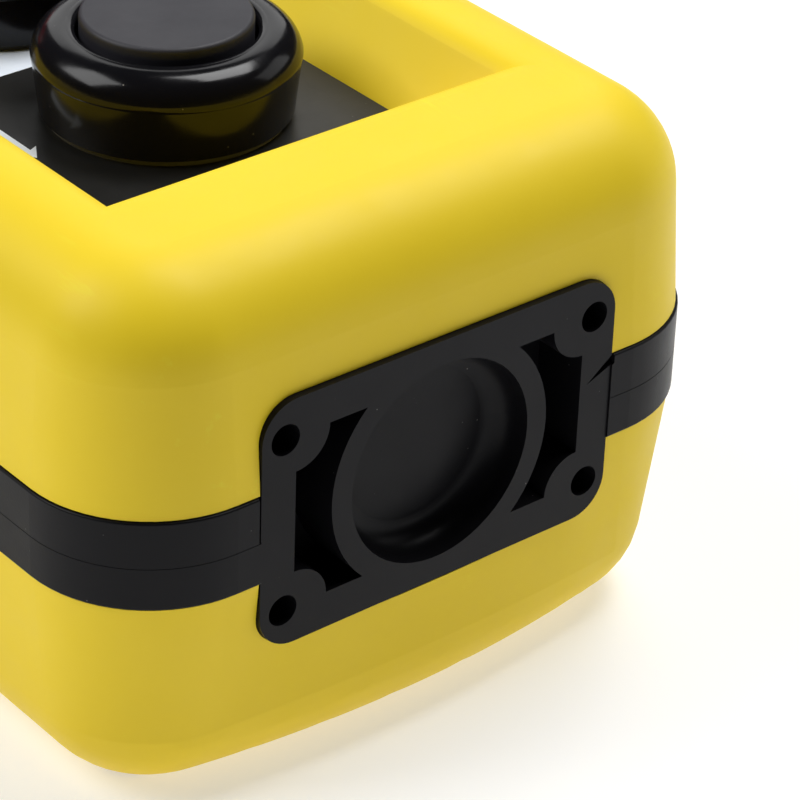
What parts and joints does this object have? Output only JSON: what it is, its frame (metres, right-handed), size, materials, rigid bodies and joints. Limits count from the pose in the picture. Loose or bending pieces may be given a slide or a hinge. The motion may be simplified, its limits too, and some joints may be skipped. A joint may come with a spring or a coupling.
{
  "type": "pendant control station",
  "caption": "Hand-held hoist pendant: yellow split case with a black middle frame, recessed up and down push-buttons, emergency stop mushroom, blind lower entry and upper cable gland.",
  "frame": {"origin": "under the middle of the station's bounding box, on the surface that its back lies on", "axes": "+Z out of the button face, +Y along the case to the cable entry, +X across the case"},
  "size_m": [0.086, 0.1992, 0.0791],
  "materials": {
    "yellow_shell": "satin moulded plastic, faint grain",
    "black_frame": "satin moulded plastic",
    "label_print": "printed film, satin",
    "collar_gloss": "polished black",
    "cap_matte": "fine matte",
    "estop_red": "smooth red",
    "seal_rubber": "soft black rubber",
    "inner_plastic": "moulded technical plastic",
    "contact_brass": "bright stamped brass",
    "zinc_steel": "zinc plated",
    "spring_steel": "drawn spring wire"
  },
  "bodies": {
    "housing": {"front_shell": "yellow_shell", "rear_shell": "yellow_shell", "mid_frame": "black_frame", "front_seal": "seal_rubber", "rear_seal": "seal_rubber", "label_plate": "label_print", "case_screws": "zinc_steel", "flange_gasket": "seal_rubber", "entry_flange": "black_frame", "gland_seal": "seal_rubber", "gland_nut": "black_frame", "flange_screws": "zinc_steel", "down_collar": "collar_gloss", "down_panel_gasket": "seal_rubber", "down_lock_nut": "black_frame", "down_contact_block": "inner_plastic", "down_fixed_contacts": "contact_brass", "down_terminal_screws": "zinc_steel", "down_return_spring": "spring_steel", "down_contact_spring": "spring_steel", "up_collar": "collar_gloss", "up_panel_gasket": "seal_rubber", "up_lock_nut": "black_frame", "up_contact_block": "inner_plastic", "up_fixed_contacts": "contact_brass", "up_terminal_screws": "zinc_steel", "up_return_spring": "spring_steel", "up_contact_spring": "spring_steel", "estop_collar": "collar_gloss", "estop_panel_gasket": "seal_rubber", "estop_lock_nut": "black_frame", "estop_contact_block": "inner_plastic", "estop_fixed_contacts": "contact_brass", "estop_terminal_screws": "zinc_steel", "estop_return_spring": "spring_steel", "estop_contact_spring": "spring_steel"},
    "down_button": {"down_retainer_clip": "spring_steel", "down_plunger": "inner_plastic", "down_contact_bridge": "contact_brass", "down_quad_ring": "seal_rubber", "down_cap": "cap_matte"},
    "up_button": {"up_retainer_clip": "spring_steel", "up_plunger": "inner_plastic", "up_contact_bridge": "contact_brass", "up_quad_ring": "seal_rubber", "up_cap": "cap_matte"},
    "estop_slide": {"estop_retainer_clip": "spring_steel", "estop_plunger": "inner_plastic", "estop_contact_bridge": "contact_brass", "estop_stem": "black_frame"},
    "estop_knob": {"estop_quad_ring": "seal_rubber", "estop_head": "estop_red"}
  },
  "joints": [
    {"name": "down_press", "type": "slide", "parent": "housing", "child": "down_button", "axis": [0, 0, -1], "range_m": [0, 0.004], "stiffness_N_per_m": 600, "springref_m": -0.004, "deforming": ["down_return_spring", "down_contact_spring"]},
    {"name": "up_press", "type": "slide", "parent": "housing", "child": "up_button", "axis": [0, 0, -1], "range_m": [0, 0.004], "stiffness_N_per_m": 600, "springref_m": -0.004, "deforming": ["up_return_spring", "up_contact_spring"]},
    {"name": "estop_press", "type": "slide", "parent": "housing", "child": "estop_slide", "axis": [0, 0, -1], "range_m": [0, 0.0055], "deforming": ["estop_return_spring", "estop_contact_spring"]},
    {"name": "estop_twist", "type": "hinge", "parent": "estop_slide", "child": "estop_knob", "pos_m": [0, 0.02065, 0.07], "axis": [0, 0, -1], "range_deg": [0, 40], "stiffness_Nm_per_rad": 0.05}
  ]
}
